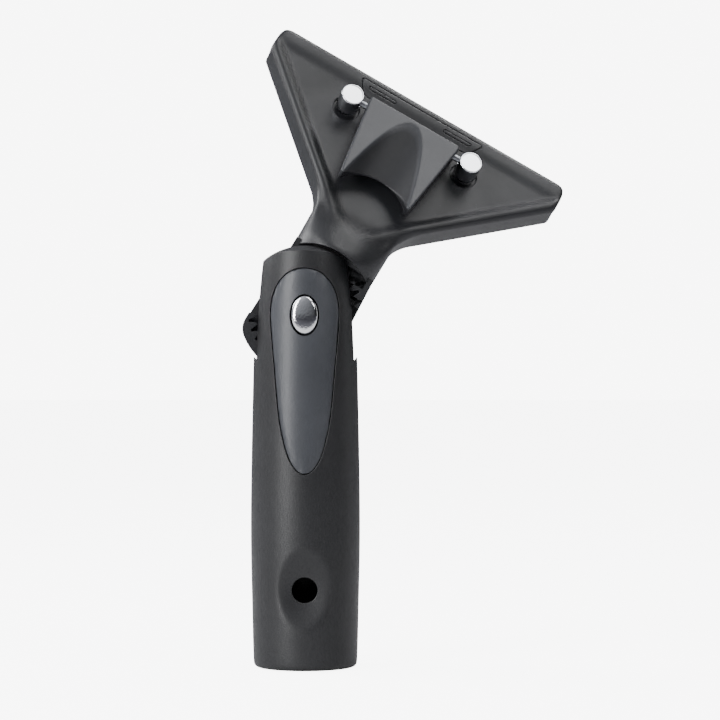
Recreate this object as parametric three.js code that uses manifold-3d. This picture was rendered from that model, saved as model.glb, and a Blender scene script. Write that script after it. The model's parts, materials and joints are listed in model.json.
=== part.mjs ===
// Window squeegee handle with a swivel head: a moulded handle, a locking pivot and a wide head that
// grips a blade channel. Millimetres, +Z up along the handle. The origin is the centre of the pole
// socket's mouth, the button side faces -Y, and +X is to the right of someone looking at the button.

import * as THREE from "three";
import Module from "manifold-3d";
import { mergeVertices } from "three/addons/utils/BufferGeometryUtils.js";
import { ConvexGeometry } from "three/addons/geometries/ConvexGeometry.js";

const wasm = await Module();
wasm.setup();

// ---------------------------------------------------------------- driving sizes

const gap = 0.3; // between pieces that touch
const slide = 0.45; // round a piece that slides
const fine = 48; // sides of a large round
const small = 24; // sides of a small round

// handle
const pivotHeight = 118.3; // socket mouth to swivel axis
const gripRadius = 18.2; // widest radius of the grip
const endRound = 1.6; // rounding at the socket end
const mouthRadius = 12.8; // pole socket at its mouth
const socketDepth = 82;
const socketTaper = 0.6; // radius lost over the depth
const mouthChamfer = 0.8;
// the grip's outline: distance from the socket mouth, and how far inside the widest radius it is
const gripProfile = [
  [8.7, 0.7], [22, 0.4], [35.3, 0.1], [48, 0], [62, 0.12], [82, 0.47], [103, 0.95],
  [118.3, 1.6], [126, 2.15], [134, 2.9], [145, 4.4],
];

// snap-button hole near the socket end
const snapHeight = 26.5;
const snapRadius = 4.25;
const dishHalf = [11, 4.5, 13.2]; // half sizes of the hollow round the hole
const dishStandOff = 1.35; // its centre, outside the grip's surface

// fork that holds the head
const slotHalf = 6.2; // half the gap between the two cheeks
const slotRadius = 23; // rounded floor of that gap
const cheekRadius = 21.5; // rounded top of the cheeks
const cheekEdge = 1.9; // rounding of that top's outer edge

// inlay on the front cheek: height above the pivot, half width
const inlayOutline = [
  [12.6, 4.6], [10.6, 8.4], [5.4, 10.8], [1, 11.5], [-5.2, 11.4], [-15.5, 10.25], [-23.3, 9.6],
  [-31.2, 8.95], [-36.4, 8.1], [-41.6, 7.1], [-45.8, 6.0], [-49.3, 4.5], [-52.6, 2.3],
];
const inlayTop = 14;
const inlayTip = -53.8;
const inlayThickness = 1.7;

// swivel button and lock
const buttonHalf = [4.4, 6.4]; // oval cap, half width and half height
const buttonRise = -1.6; // its centre against the pivot
const buttonProud = 0.75; // how far the cap stands out of the inlay
const buttonThickness = 2.1;
const buttonTravel = 3.2;
const teeth = 36;
const ringTip = 19; // the head's toothed ring: bottoms of its teeth
const ringRoot = 16.5; // and their tips
const toothTip = 16.15; // the lock's teeth end just inside that ring
const toothRoot = 14.2;
const lockThickness = 2.6;
const lockHalfWidth = 13.6; // the lock is a disc with flat sides
const legHalf = [1.3, 0.75]; // the two legs between cap and lock
const legOffset = 3.95; // either side of the bolt
const floorThickness = 3.3; // cheek wall between button well and tang

// pivot hardware
const boltRadius = 1.6;
const boltHeadRadius = 4.1;
const boltHeadHeight = 2.7;
const nutFlat = 2.8; // half the width across flats
const nutThickness = 1.7;
const bushRadius = 4.2;
const bushLength = 6.6;
const washerRadius = 12.5;
const washerThickness = 0.5;
const springWire = 0.7;
const springRadius = 6.2;
const springTurns = 2.25;

// head: tang, neck and plate. The head is built upright, then swung about the pivot.
const swing = THREE.MathUtils.degToRad(30);
const bend = THREE.MathUtils.degToRad(30);
const tangFront = slotHalf - gap;
const tangBack = slotHalf - gap - washerThickness - gap;
const tangHalf = 15.45; // half width of the tang at the pivot
const tangTaper = 0.042; // half width lost per millimetre upwards
const tangRadius = 22; // rounded lower end
const tangCorner = 1.6; // its corners are drawn in by this
const neckClear = 22.3; // the neck starts outside this radius, clear of the cheeks
const neckHalf = [14.6, 12.8];
const pocketBack = 2.4; // the tang's pocket for the lock ends here
const bendHeight = 25; // pivot to the bend
const plateHalfWidth = 56;
const plateReach = 62.7; // bend to the front edge
const plateEnd = 10.8; // length of the square ends
const plateRoot = 10.5; // where the plate starts to widen
const plateHalf = 5.5; // half its thickness
const ridge = 5; // raised border round the dished face
const dishDepth = 1.3;
const channelHalf = 2.5; // slot that takes the blade channel
const channelDepth = 21;

// release lever and pins, in the plate's own frame
const pinSpread = 23; // half the distance between the pins
const pinBack = 16.7; // pins to the front edge
const pinRadius = 2.2;
const pinBite = 2; // how far the pins reach into the channel slot
const postRadius = 3.85;
const postHeight = 9.1;
const rodRadius = 1.1;
const rodDrop = 2.6; // below the post tops
const leverTop = 13.5;
const leverSlab = 4.3;
const pinReach = plateReach - pinBack; // bend to the pins
const leverFront = pinReach + 3.3;
const leverRear = pinReach - 29.1;
const leverHalf = [17.4, 13.2]; // half widths at the front and rear
const leverWall = 2;
const axleReach = pinReach - 15;
const axleHeight = 8;
const axleRadius = 1;
const lugOffset = 11.3;
const lugThickness = 2;
const lugRound = 2.4;
const scoopRadius = 14;
const scoopSlope = Math.atan(0.19);
const scoopStart = 1.3; // behind the lever's front edge
const leafThickness = 0.5;
const leafHalf = 4;
const screwRadius = 1.1;
const screwReach = axleReach + 7;

// ---------------------------------------------------------------- helpers

// a closed geometry as a solid that can be cut and joined
function solid(geometry) {
  const bare = geometry.index ? geometry.toNonIndexed() : geometry.clone();
  bare.deleteAttribute("normal");
  bare.deleteAttribute("uv");
  const merged = mergeVertices(bare, 1e-4);
  return new wasm.Manifold(new wasm.Mesh({
    numProp: 3,
    vertProperties: new Float32Array(merged.attributes.position.array),
    triVerts: new Uint32Array(merged.index.array),
  }));
}

function geometryOf(body) {
  const mesh = body.getMesh();
  const geometry = new THREE.BufferGeometry();
  geometry.setAttribute("position", new THREE.BufferAttribute(mesh.vertProperties, 3));
  geometry.setIndex(new THREE.BufferAttribute(mesh.triVerts, 1));
  geometry.computeVertexNormals();
  return geometry;
}

// a solid of revolution about Z, from [radius, height] points that start and end on the axis
function turned(points, sides = fine) {
  const profile = points.map(([r, z]) => new THREE.Vector2(r, z));
  return new THREE.LatheGeometry(profile, sides).rotateX(Math.PI / 2);
}

// the same about Y, from [radius, y] points
function turnedY(points, sides = fine) {
  return new THREE.LatheGeometry(points.map(([r, y]) => new THREE.Vector2(r, y)), sides);
}

function box(x0, x1, y0, y1, z0, z1) {
  return new THREE.BoxGeometry(x1 - x0, y1 - y0, z1 - z0)
    .translate((x0 + x1) / 2, (y0 + y1) / 2, (z0 + z1) / 2);
}

// a cylinder along Y or X
function alongY(radius, y0, y1, x = 0, z = 0, sides = small) {
  return new THREE.CylinderGeometry(radius, radius, y1 - y0, sides).translate(x, (y0 + y1) / 2, z);
}

function alongX(radius, x0, x1, y, z, sides = small) {
  return new THREE.CylinderGeometry(radius, radius, x1 - x0, sides)
    .rotateZ(-Math.PI / 2)
    .translate((x0 + x1) / 2, y, z);
}

function shapeOf(points) {
  return new THREE.Shape(points.map(([x, y]) => new THREE.Vector2(x, y)));
}

// an outline in (x, z), run from y0 to y1, with its edges rounded off by `round`
function throughY(shape, y0, y1, round = 0, steps = 2) {
  const options = {
    depth: y1 - y0 - 2 * round,
    bevelEnabled: round > 0,
    bevelThickness: round,
    bevelSize: round,
    bevelOffset: -round,
    bevelSegments: steps,
    curveSegments: 12,
  };
  return new THREE.ExtrudeGeometry(shape, options).rotateX(Math.PI / 2).translate(0, y1 - round, 0);
}

// an outline in (along the plate, above its middle), run from x0 to x1
function throughX(shape, x0, x1) {
  const turn = new THREE.Matrix4().makeBasis(
    new THREE.Vector3(0, 0, 1),
    new THREE.Vector3(0, -1, 0),
    new THREE.Vector3(1, 0, 0),
  );
  return new THREE.ExtrudeGeometry(shape, { depth: x1 - x0, bevelEnabled: false, curveSegments: 10 })
    .applyMatrix4(turn)
    .translate(x0, 0, 0);
}

function oval(halfWidth, halfHeight, rise = 0) {
  const shape = new THREE.Shape();
  shape.absellipse(0, rise, halfWidth, halfHeight, 0, Math.PI * 2);
  return shape;
}

// a round coil spring about Y
function coil(radius, wire, turns, y0, y1, z) {
  class Helix extends THREE.Curve {
    getPoint(t, target = new THREE.Vector3()) {
      const angle = t * turns * Math.PI * 2;
      const y = y0 + wire + t * (y1 - y0 - 2 * wire);
      return target.set(Math.cos(angle) * radius, y, Math.sin(angle) * radius + z);
    }
  }
  const section = new THREE.Shape();
  section.absarc(0, 0, wire, 0, Math.PI * 2);
  const options = { extrudePath: new Helix(), steps: Math.round(turns * 16), curveSegments: 4 };
  return new THREE.ExtrudeGeometry(section, { ...options, bevelEnabled: false });
}

function material(color, roughness, metalness = 0) {
  return new THREE.MeshStandardMaterial({ color, roughness, metalness });
}

const charcoal = material(0x35363a, 0.5);
const graphite = material(0x46484d, 0.55);
const chrome = material(0xd8dadd, 0.12, 1);
const steel = material(0x9a9ca0, 0.3, 1);
const acetal = material(0x1f2022, 0.45);

function mesh(name, body, look) {
  const geometry = body.isBufferGeometry ? body : geometryOf(body);
  const made = new THREE.Mesh(geometry, look);
  made.name = name;
  return made;
}

// ---------------------------------------------------------------- handle

// the grip's radius at a height, straight between the outline's points
const gripTable = [[0, 1], ...gripProfile].map(([z, inside]) => [gripRadius - inside, z]);

function gripAt(height) {
  const above = gripTable.findIndex(([, z]) => z >= height);
  const [r1, z1] = gripTable[above];
  const [r0, z0] = gripTable[above - 1];
  return r0 + ((r1 - r0) * (height - z0)) / (z1 - z0);
}

// the grip as a plain solid, grown or shrunk all round by `offset`
function gripSolid(offset = 0) {
  const side = gripTable.slice(1).map(([r, z]) => [r + offset, z]);
  const foot = gripTable[0][0] + offset;
  const round = [
    [foot - endRound, 0], [foot - endRound * 0.3, endRound * 0.3], [foot, endRound],
  ];
  const top = side[side.length - 1][1];
  return solid(turned([[0, 0], ...round, ...side, [0, top]]));
}

// the teardrop outline of the inlay, grown by `offset`
function inlayShape(offset = 0) {
  const half = [
    new THREE.Vector2(0, inlayTop + offset),
    ...inlayOutline.map(([z, x]) => new THREE.Vector2(x + offset, z)),
    new THREE.Vector2(0, inlayTip - offset),
  ];
  const right = new THREE.SplineCurve(half).getPoints(30);
  const left = right.slice(1, -1).reverse().map((p) => new THREE.Vector2(-p.x, p.y));
  return new THREE.Shape([...right, ...left].map((p) => new THREE.Vector2(p.x, p.y + pivotHeight)));
}

const buttonHeight = pivotHeight + buttonRise;
const wellFloor = -(slotHalf + floorThickness);
const inlaySpan = [-gripRadius - 4, -slotHalf - 0.5];

function handleBarrel() {
  let body = gripSolid();

  // round the top of the cheeks about the pivot
  const dome = turnedY([
    [0, -gripRadius], [cheekRadius - 2.2 * cheekEdge, -gripRadius],
    [cheekRadius - 1.1 * cheekEdge, -gripRadius + 2.6 * cheekEdge],
    [cheekRadius - 0.3 * cheekEdge, -gripRadius + 3.8 * cheekEdge],
    [cheekRadius, -gripRadius + 5 * cheekEdge],
    [cheekRadius, gripRadius - 5 * cheekEdge],
    [cheekRadius - 0.3 * cheekEdge, gripRadius - 3.8 * cheekEdge],
    [cheekRadius - 1.1 * cheekEdge, gripRadius - 2.6 * cheekEdge],
    [cheekRadius - 2.2 * cheekEdge, gripRadius], [0, gripRadius],
  ], 72).translate(0, 0, pivotHeight);
  const wide = gripRadius + 4;
  const lower = box(-wide, wide, -wide, wide, -1, pivotHeight);
  body = body.intersect(solid(dome).add(solid(lower)));

  // gap between the cheeks, with a rounded floor
  const floor = alongY(slotRadius, -slotHalf, slotHalf, 0, pivotHeight, 72);
  const above = box(-30, 30, -slotHalf, slotHalf, pivotHeight, pivotHeight + 40);
  body = body.subtract(solid(floor)).subtract(solid(above));

  // pole socket
  const socketTop = mouthRadius - socketTaper;
  body = body.subtract(solid(turned([
    [0, -1], [mouthRadius + mouthChamfer + 1, -1], [mouthRadius, mouthChamfer],
    [socketTop, socketDepth - 3], [socketTop - 3, socketDepth], [0, socketDepth],
  ])));

  // snap-button hole in its hollow
  const dish = new THREE.SphereGeometry(1, 32, 20)
    .scale(...dishHalf)
    .translate(0, -(gripAt(snapHeight) + dishStandOff), snapHeight);
  body = body.subtract(solid(dish));
  body = body.subtract(solid(alongY(snapRadius, -gripRadius - 4, 0, 0, snapHeight, 32)));

  // recess for the inlay
  const recess = solid(throughY(inlayShape(gap), ...inlaySpan))
    .subtract(gripSolid(-inlayThickness - gap));
  body = body.subtract(recess);

  // button well, leg holes, and the bolt's holes
  const well = oval(buttonHalf[0] + slide, buttonHalf[1] + slide, buttonHeight);
  body = body.subtract(solid(throughY(well, -gripRadius - 4, wellFloor)));
  for (const side of [-1, 1]) {
    const z = pivotHeight + side * legOffset;
    const reach = legHalf[0] + slide;
    const deep = legHalf[1] + slide;
    body = body.subtract(solid(box(-reach, reach, wellFloor - 1, 0, z - deep, z + deep)));
  }
  body = body.subtract(solid(alongY(boltRadius + gap, -gripRadius, gripRadius, 0, pivotHeight)));
  const bushEnd = slotHalf + bushLength / 2 + gap;
  body = body.subtract(solid(alongY(bushRadius + gap, 0, bushEnd, 0, pivotHeight)));
  const headSeat = bolt.seat - gap - washerThickness - gap;
  const counterbore = alongY(boltHeadRadius + slide, headSeat, gripRadius + 4, 0, pivotHeight);
  return body.subtract(solid(counterbore));
}

// the bolt's places along Y
const bolt = { seat: gripAt(pivotHeight) - boltHeadHeight - 1.2, tip: wellFloor - nutThickness - gap };

function frontInlay() {
  const panel = solid(throughY(inlayShape(), ...inlaySpan))
    .intersect(gripSolid())
    .subtract(gripSolid(-inlayThickness));
  const hole = oval(buttonHalf[0] + slide, buttonHalf[1] + slide, buttonHeight);
  return panel.subtract(solid(throughY(hole, ...inlaySpan)));
}

const capFront = -(gripAt(buttonHeight) + buttonProud);
const capBack = capFront + buttonThickness;

function buttonCap() {
  const cap = throughY(oval(...buttonHalf, buttonHeight), capFront, capBack + 1, 0.7, 3);
  const behind = box(-20, 20, capBack, capBack + 10, buttonHeight - 20, buttonHeight + 20);
  return solid(cap).subtract(solid(behind));
}

// a toothed outline: half angles of the tips and roots in degrees
function toothed(tip, tipHalf, root, rootHalf) {
  const points = [];
  const pitch = 360 / teeth;
  for (let n = 0; n < teeth; n += 1) {
    for (const [r, angle] of [
      [tip, n * pitch - tipHalf], [tip, n * pitch + tipHalf],
      [root, (n + 0.5) * pitch - rootHalf], [root, (n + 0.5) * pitch + rootHalf],
    ]) {
      const a = THREE.MathUtils.degToRad(angle);
      points.push([Math.sin(a) * r, Math.cos(a) * r]);
    }
  }
  return shapeOf(points.reverse());
}

const lockFront = -tangFront + 0.1;
const lockBack = lockFront + lockThickness;

function swivelLock() {
  const disc = throughY(toothed(toothTip, 0.75, toothRoot, 1.9), lockFront, lockBack);
  disc.translate(0, 0, pivotHeight);
  const high = toothTip + 5;
  const flats = box(-lockHalfWidth, lockHalfWidth, lockFront - 1, lockBack + 1,
    pivotHeight - high, pivotHeight + high);
  let body = solid(disc).intersect(solid(flats));
  for (const side of [-1, 1]) {
    const z = pivotHeight + side * legOffset;
    const leg = box(-legHalf[0], legHalf[0], capBack + gap, lockFront + 1, z - legHalf[1], z + legHalf[1]);
    body = body.add(solid(leg));
  }
  return body.subtract(solid(alongY(boltRadius + slide, -30, 30, 0, pivotHeight)));
}

function pivotBolt() {
  const shank = alongY(boltRadius, bolt.tip, bolt.seat + 0.5, 0, pivotHeight);
  const head = turnedY([
    [0, bolt.seat], [boltHeadRadius, bolt.seat], [boltHeadRadius, bolt.seat + boltHeadHeight - 1],
    [boltHeadRadius - 0.9, bolt.seat + boltHeadHeight], [0, bolt.seat + boltHeadHeight],
  ], 32).translate(0, 0, pivotHeight);
  const socket = alongY(1.5, bolt.seat + boltHeadHeight - 1.6, bolt.seat + 9, 0, pivotHeight, 6);
  return solid(shank).add(solid(head)).subtract(solid(socket));
}

function ring(outer, inner, y0, y1, sides = small) {
  const body = solid(alongY(outer, y0, y1, 0, pivotHeight, sides));
  return body.subtract(solid(alongY(inner, y0 - 1, y1 + 1, 0, pivotHeight)));
}

const nutBack = wellFloor - gap;

// six sides, with two flats towards the button's legs
function pivotNut() {
  const corner = nutFlat / Math.cos(Math.PI / 6);
  const hex = new THREE.CylinderGeometry(corner, corner, nutThickness, 6)
    .rotateY(Math.PI / 2)
    .translate(0, nutBack - nutThickness / 2, pivotHeight);
  const hole = alongY(boltRadius + gap, -30, 30, 0, pivotHeight);
  return solid(hex).subtract(solid(hole));
}

// ---------------------------------------------------------------- head

const plateFrame = new THREE.Matrix4().makeRotationX(-bend).setPosition(0, 0, bendHeight);
const faceHeight = plateHalf - dishDepth; // the dished face, above the plate's middle
const toPlate = (geometry) => solid(geometry.applyMatrix4(plateFrame));

// half of the plate's outline, drawn in by `inset`
function plateOutline(inset, low) {
  const slope = (plateReach - plateEnd - plateRoot) / (plateHalfWidth - neckHalf[0]);
  const run = inset * Math.sqrt(1 + slope * slope);
  const sideX = (along) => neckHalf[0] + (along - plateRoot - run) / slope;
  const outer = plateHalfWidth - inset;
  const corner = plateRoot + run + (outer - neckHalf[0]) * slope;
  const top = plateReach - inset;
  const cut = inset ? 1.5 : 2.4;
  const half = [
    [sideX(low), low], [outer - 0.7, corner - 0.7], [outer, corner + 0.6],
    [outer, top - cut], [outer - 0.3 * cut, top - 0.3 * cut], [outer - cut, top],
  ];
  const other = half.map(([x, s]) => [-x, s]).reverse();
  return shapeOf([...half, ...other]);
}

function head() {
  // tang between the cheeks
  const low = -tangRadius * 0.53;
  const high = bendHeight + 3;
  const halfAt = (z) => tangHalf - tangTaper * z;
  const end = Math.asin((halfAt(low) - 2 * tangCorner) / tangRadius);
  const endX = Math.sin(end) * tangRadius;
  const endZ = -Math.cos(end) * tangRadius;
  const tangShape = new THREE.Shape();
  tangShape.moveTo(-halfAt(high), high);
  tangShape.lineTo(-halfAt(low), low);
  tangShape.quadraticCurveTo(-halfAt(low), endZ + tangCorner, -endX, endZ);
  tangShape.absarc(0, 0, tangRadius, -Math.PI / 2 - end, -Math.PI / 2 + end, false);
  tangShape.quadraticCurveTo(halfAt(low), endZ + tangCorner, halfAt(low), low);
  tangShape.lineTo(halfAt(high), high);
  let body = solid(throughY(tangShape, -tangFront, tangBack));

  // neck, from a round section into the plate
  const points = [];
  for (const z of [10, bendHeight - 1]) {
    for (let n = 0; n < 28; n += 1) {
      const a = (n * Math.PI * 2) / 28;
      points.push(new THREE.Vector3(Math.cos(a) * neckHalf[0], Math.sin(a) * neckHalf[1], z));
    }
  }
  for (const side of [-1, 1]) {
    for (const [x, s, h] of [
      [neckHalf[0] + 0.8, plateRoot, -plateHalf + 1], [neckHalf[0] + 0.8, plateRoot, plateHalf - 1],
      [neckHalf[0] - 1.2, plateRoot + 3, -plateHalf], [neckHalf[0] - 1.2, plateRoot + 3, plateHalf],
    ]) {
      points.push(new THREE.Vector3(side * x, -h, s).applyMatrix4(plateFrame));
    }
  }
  let neck = solid(new ConvexGeometry(points));
  const clear = alongY(neckClear, -30, -tangFront, 0, 0, 72);
  const clearBack = alongY(neckClear, tangBack, 30, 0, 0, 72);
  neck = neck.subtract(solid(clear)).subtract(solid(clearBack));
  const inner = box(-30, 30, -tangFront, tangBack, -5, neckClear * 0.7);
  neck = neck.subtract(solid(inner));

  // plate, dished in front between its ridges
  let plate = toPlate(throughY(plateOutline(0, 0), -plateHalf, plateHalf, 1.4, 2));
  const dish = throughY(plateOutline(ridge, plateRoot + ridge + 2), -plateHalf - 5, -faceHeight);
  plate = plate.subtract(toPlate(dish));

  // ears that carry the lever's axle
  const ear = new THREE.Shape();
  ear.moveTo(axleReach + lugRound, faceHeight - 0.6);
  ear.lineTo(axleReach + lugRound, axleHeight);
  ear.absarc(axleReach, axleHeight, lugRound, 0, Math.PI, false);
  ear.lineTo(axleReach - lugRound, faceHeight - 0.6);
  for (const side of [-1, 1]) {
    const x = side * lugOffset;
    plate = plate.add(toPlate(throughX(ear, x - lugThickness / 2, x + lugThickness / 2)));
  }
  const axleHole = alongX(axleRadius + gap, -30, 30, -axleHeight, axleReach);

  // slot for the blade channel, and the pins' and screw's holes
  const slotStart = plateReach - channelDepth;
  const slot = box(-80, 80, -channelHalf, channelHalf, slotStart, plateReach + 9);
  const screwHole = alongY(screwRadius + gap, -faceHeight - 3, 0, 0, screwReach);
  body = body.add(neck).add(plate);
  for (const cut of [axleHole, slot, screwHole]) {
    body = body.subtract(toPlate(cut));
  }
  for (const side of [-1, 1]) {
    body = body.subtract(toPlate(alongY(pinRadius + slide, -20, 0, side * pinSpread, pinReach)));
  }

  // toothed opening for the lock, with a plain pocket behind it
  const star = throughY(toothed(ringTip, 1.2, ringRoot, 1.4), -20, lockBack + gap);
  const pocket = alongY(ringTip + 0.1, lockBack, pocketBack, 0, 0, fine);
  body = body.subtract(solid(star)).subtract(solid(pocket));
  const sideGap = Math.sqrt(ringRoot ** 2 - lockHalfWidth ** 2);
  body = body.subtract(solid(box(-30, 30, -20, lockBack + gap, -sideGap, sideGap)));
  return body.subtract(solid(alongY(bushRadius + gap, 0, 20)));
}

// ---------------------------------------------------------------- lever and pins, in the plate's frame

const slabBottom = leverTop - leverSlab;
const postBase = faceHeight + gap;
const rodHeight = postBase + postHeight - rodDrop;

function leverOutline(inset, rear) {
  const slope = (leverHalf[0] - leverHalf[1]) / (leverFront - leverRear);
  const front = leverFront - inset;
  const halfAt = (s) => leverHalf[1] + slope * (s - leverRear) - inset;
  return shapeOf([
    [halfAt(rear), rear], [halfAt(front - 1), front - 1], [halfAt(front) - 1, front],
    [-halfAt(front) + 1, front], [-halfAt(front - 1), front - 1], [-halfAt(rear), rear],
  ]);
}

function releaseLever() {
  const side = shapeOf([
    [leverFront, faceHeight + 1.6], [leverFront, leverTop], [leverRear, leverTop],
    [leverRear, slabBottom - 0.4], [leverRear + 7, slabBottom - 1.9],
    [axleReach + 1, faceHeight + 1.6],
  ].reverse());
  let body = solid(throughY(leverOutline(0, leverRear), -leverTop, -1, 0.5, 2))
    .intersect(solid(throughX(side, -30, 30)));
  const inside = throughY(leverOutline(leverWall, leverRear - 9), -slabBottom, 5);
  body = body.subtract(solid(inside));

  // thumb scoop: a sloping round cut that breaks through at the rear
  const rise = scoopRadius * Math.cos(scoopSlope);
  const shift = scoopRadius * Math.sin(scoopSlope);
  const scoop = new THREE.CylinderGeometry(scoopRadius, scoopRadius, 130, 64)
    .rotateX(Math.PI / 2 + scoopSlope)
    .translate(0, -(leverTop + rise), leverFront - scoopStart - shift);
  body = body.subtract(solid(scoop));

  // room for the ears, the axle and the cross rod
  for (const side of [-1, 1]) {
    const x = side * lugOffset;
    const wide = lugThickness / 2 + slide;
    const long = lugRound + 1.2;
    const top = axleHeight + lugRound + 0.8;
    body = body.subtract(
      solid(box(x - wide, x + wide, -top, 5, axleReach - long, axleReach + long)),
    );
  }
  body = body.subtract(solid(alongX(axleRadius + gap, -30, 30, -axleHeight, axleReach)));
  const play = 0.4;
  const r = rodRadius + 0.35;
  const rodSlot = new THREE.Shape();
  rodSlot.absarc(pinReach + play, rodHeight, r, -Math.PI / 2, Math.PI / 2, false);
  rodSlot.absarc(pinReach - play, rodHeight, r, Math.PI / 2, (Math.PI * 3) / 2, false);
  return body.subtract(solid(throughX(rodSlot, -30, 30)));
}

function leverSpring() {
  const floor = faceHeight + gap;
  const knee = axleReach + 1;
  const tip = [axleReach - 4.6, slabBottom - gap - leafThickness];
  const leaf = shapeOf([
    [screwReach + 2.6, floor], [screwReach + 2.6, floor + leafThickness],
    [knee, floor + leafThickness], [tip[0], tip[1] + leafThickness], tip, [knee + 0.2, floor],
  ]);
  const body = solid(throughX(leaf, -leafHalf, leafHalf));
  return body.subtract(solid(alongY(screwRadius + gap, -30, 30, 0, screwReach)));
}

function springScrew() {
  const seat = faceHeight + gap + leafThickness + gap;
  return solid(turnedY([
    [0, -seat - 1.1], [1.5, -seat - 1.1], [2.1, -seat - 0.6], [2.1, -seat], [screwRadius, -seat],
    [screwRadius, -faceHeight + 2.6], [0, -faceHeight + 2.6],
  ], small).translate(0, 0, screwReach));
}

const tipHeight = channelHalf - pinBite;
const boreTop = postBase + 5;

function lockPin(side) {
  return alongY(pinRadius, -(boreTop - gap), -tipHeight, side * pinSpread, pinReach);
}

// a round cap over the pin, cross-bored from its inner side for the rod
function postCap(side) {
  const top = postBase + postHeight;
  const cap = turnedY([
    [0, -top], [postRadius - 1.3, -top + 0.05], [postRadius - 0.45, -top + 0.4],
    [postRadius, -top + 1.1], [postRadius, -postBase], [0, -postBase],
  ], 32).translate(side * pinSpread, 0, pinReach);
  const bore = alongY(pinRadius + gap, -boreTop, 0, side * pinSpread, pinReach);
  const ends = [side * (pinSpread - 9), side * (pinSpread + 1)].sort((a, b) => a - b);
  const cross = alongX(rodRadius + gap, ...ends, -rodHeight, pinReach);
  return solid(cap).subtract(solid(bore)).subtract(solid(cross));
}

// ---------------------------------------------------------------- assembly

const squeegee = new THREE.Group();
squeegee.add(
  mesh("handle_barrel", handleBarrel(), charcoal),
  mesh("front_inlay", frontInlay(), graphite),
  mesh("button_cap", buttonCap(), chrome),
  mesh("swivel_lock", swivelLock(), steel),
  mesh("pivot_bolt", pivotBolt(), steel),
  mesh("pivot_nut", pivotNut(), steel),
  mesh("pivot_bushing", ring(bushRadius, boltRadius + gap,
    slotHalf - bushLength / 2, slotHalf + bushLength / 2), steel),
  mesh("swivel_washer", ring(washerRadius, bushRadius + gap,
    tangBack + gap, tangBack + gap + washerThickness, 32), acetal),
  mesh("bolt_washer", ring(boltHeadRadius, boltRadius + gap,
    bolt.seat - gap - washerThickness, bolt.seat - gap), steel),
  mesh("lock_spring", coil(springRadius, springWire / 2, springTurns,
    lockBack + gap, pocketBack - gap, pivotHeight), steel),
);

const headGroup = new THREE.Group();
headGroup.position.set(0, 0, pivotHeight);
headGroup.rotation.y = swing;
headGroup.add(mesh("head", head(), charcoal));

const plateGroup = new THREE.Group();
plateGroup.position.set(0, 0, bendHeight);
plateGroup.rotation.x = -bend;
plateGroup.add(
  mesh("release_lever", releaseLever(), graphite),
  mesh("lever_axle", alongX(axleRadius, -14.4, 14.4, -axleHeight, axleReach), steel),
  mesh("lever_spring", leverSpring(), steel),
  mesh("spring_screw", springScrew(), steel),
  mesh("pin_cross_rod", alongX(rodRadius, -pinSpread, pinSpread, -rodHeight, pinReach), chrome),
);
for (const [name, side] of [["left", -1], ["right", 1]]) {
  plateGroup.add(
    mesh(`lock_pin_${name}`, lockPin(side), steel),
    mesh(`post_cap_${name}`, postCap(side), chrome),
  );
}
headGroup.add(plateGroup);
squeegee.add(headGroup);

export default squeegee;
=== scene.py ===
# %% [markdown]
# # A window squeegee handle with a swivel head
# A moulded plastic grip takes an extension pole in its lower end. At its upper end a push-button swivel
# holds a wide plastic head, and a thumb lever lifts two pins that lock a blade channel in the head.
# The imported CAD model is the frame: it gives every place and every moving body. The shapes here are
# finer versions of its pieces, and each one rides on the same body as the piece that it stands for.

# %% Load the frame
import json
import math

import bmesh
import bpy
from mathutils import Matrix, Vector


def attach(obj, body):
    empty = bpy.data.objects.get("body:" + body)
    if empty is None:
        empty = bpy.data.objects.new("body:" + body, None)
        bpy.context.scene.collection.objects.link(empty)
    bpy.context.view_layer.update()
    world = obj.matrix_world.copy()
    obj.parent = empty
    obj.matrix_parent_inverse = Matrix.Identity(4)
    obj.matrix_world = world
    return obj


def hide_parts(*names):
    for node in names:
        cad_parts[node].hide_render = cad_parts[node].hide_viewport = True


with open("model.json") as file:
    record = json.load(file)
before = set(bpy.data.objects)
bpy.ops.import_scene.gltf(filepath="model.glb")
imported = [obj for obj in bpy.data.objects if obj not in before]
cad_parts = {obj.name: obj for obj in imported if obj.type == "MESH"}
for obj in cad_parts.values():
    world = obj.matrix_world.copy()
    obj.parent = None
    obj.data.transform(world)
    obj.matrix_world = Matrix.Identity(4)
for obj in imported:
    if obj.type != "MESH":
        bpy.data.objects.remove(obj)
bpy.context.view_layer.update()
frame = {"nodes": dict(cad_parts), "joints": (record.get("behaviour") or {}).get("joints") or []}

# %% [markdown]
# Every size below is in millimetres, because that is how a mould maker's drawing is read. The head is
# drawn upright and then swung, and its blade plate is drawn flat and then bent back, so each of them
# gets a matrix. In the plate's own frame X runs along the front edge, Z runs from the bend towards the
# front edge, and the side that carries the lever is -Y. BENT takes the plate's frame to the upright
# head's and FLAT goes back. FORWARD lays a turned shape down towards -Y, and SIDEWAYS takes a profile
# that was drawn as (distance from the bend, height) and runs it across the plate.

# %% The object's own frames
PIVOT = frame["joints"][[j["name"] for j in frame["joints"]].index("head_swivel")]["pos_m"][2] * 1000
SWING = math.radians(30)
BEND = math.radians(30)
UPRIGHT = Matrix.Identity(4)
HEAD = Matrix.Translation((0, 0, PIVOT)) @ Matrix.Rotation(SWING, 4, "Y")
BENT = Matrix.Translation((0, 0, 25)) @ Matrix.Rotation(-BEND, 4, "X")
FLAT = BENT.inverted()
PLATE = HEAD @ BENT
FORWARD = Matrix.Rotation(math.pi / 2, 4, "X")
SIDEWAYS = Matrix(((0, 1, 0, 0), (0, 0, -1, 0), (1, 0, 0, 0), (0, 0, 0, 1)))
print("pivot at", PIVOT, "mm; plate faces", [round(v, 3) for v in PLATE.to_3x3() @ Vector((0, -1, 0))])

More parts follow.
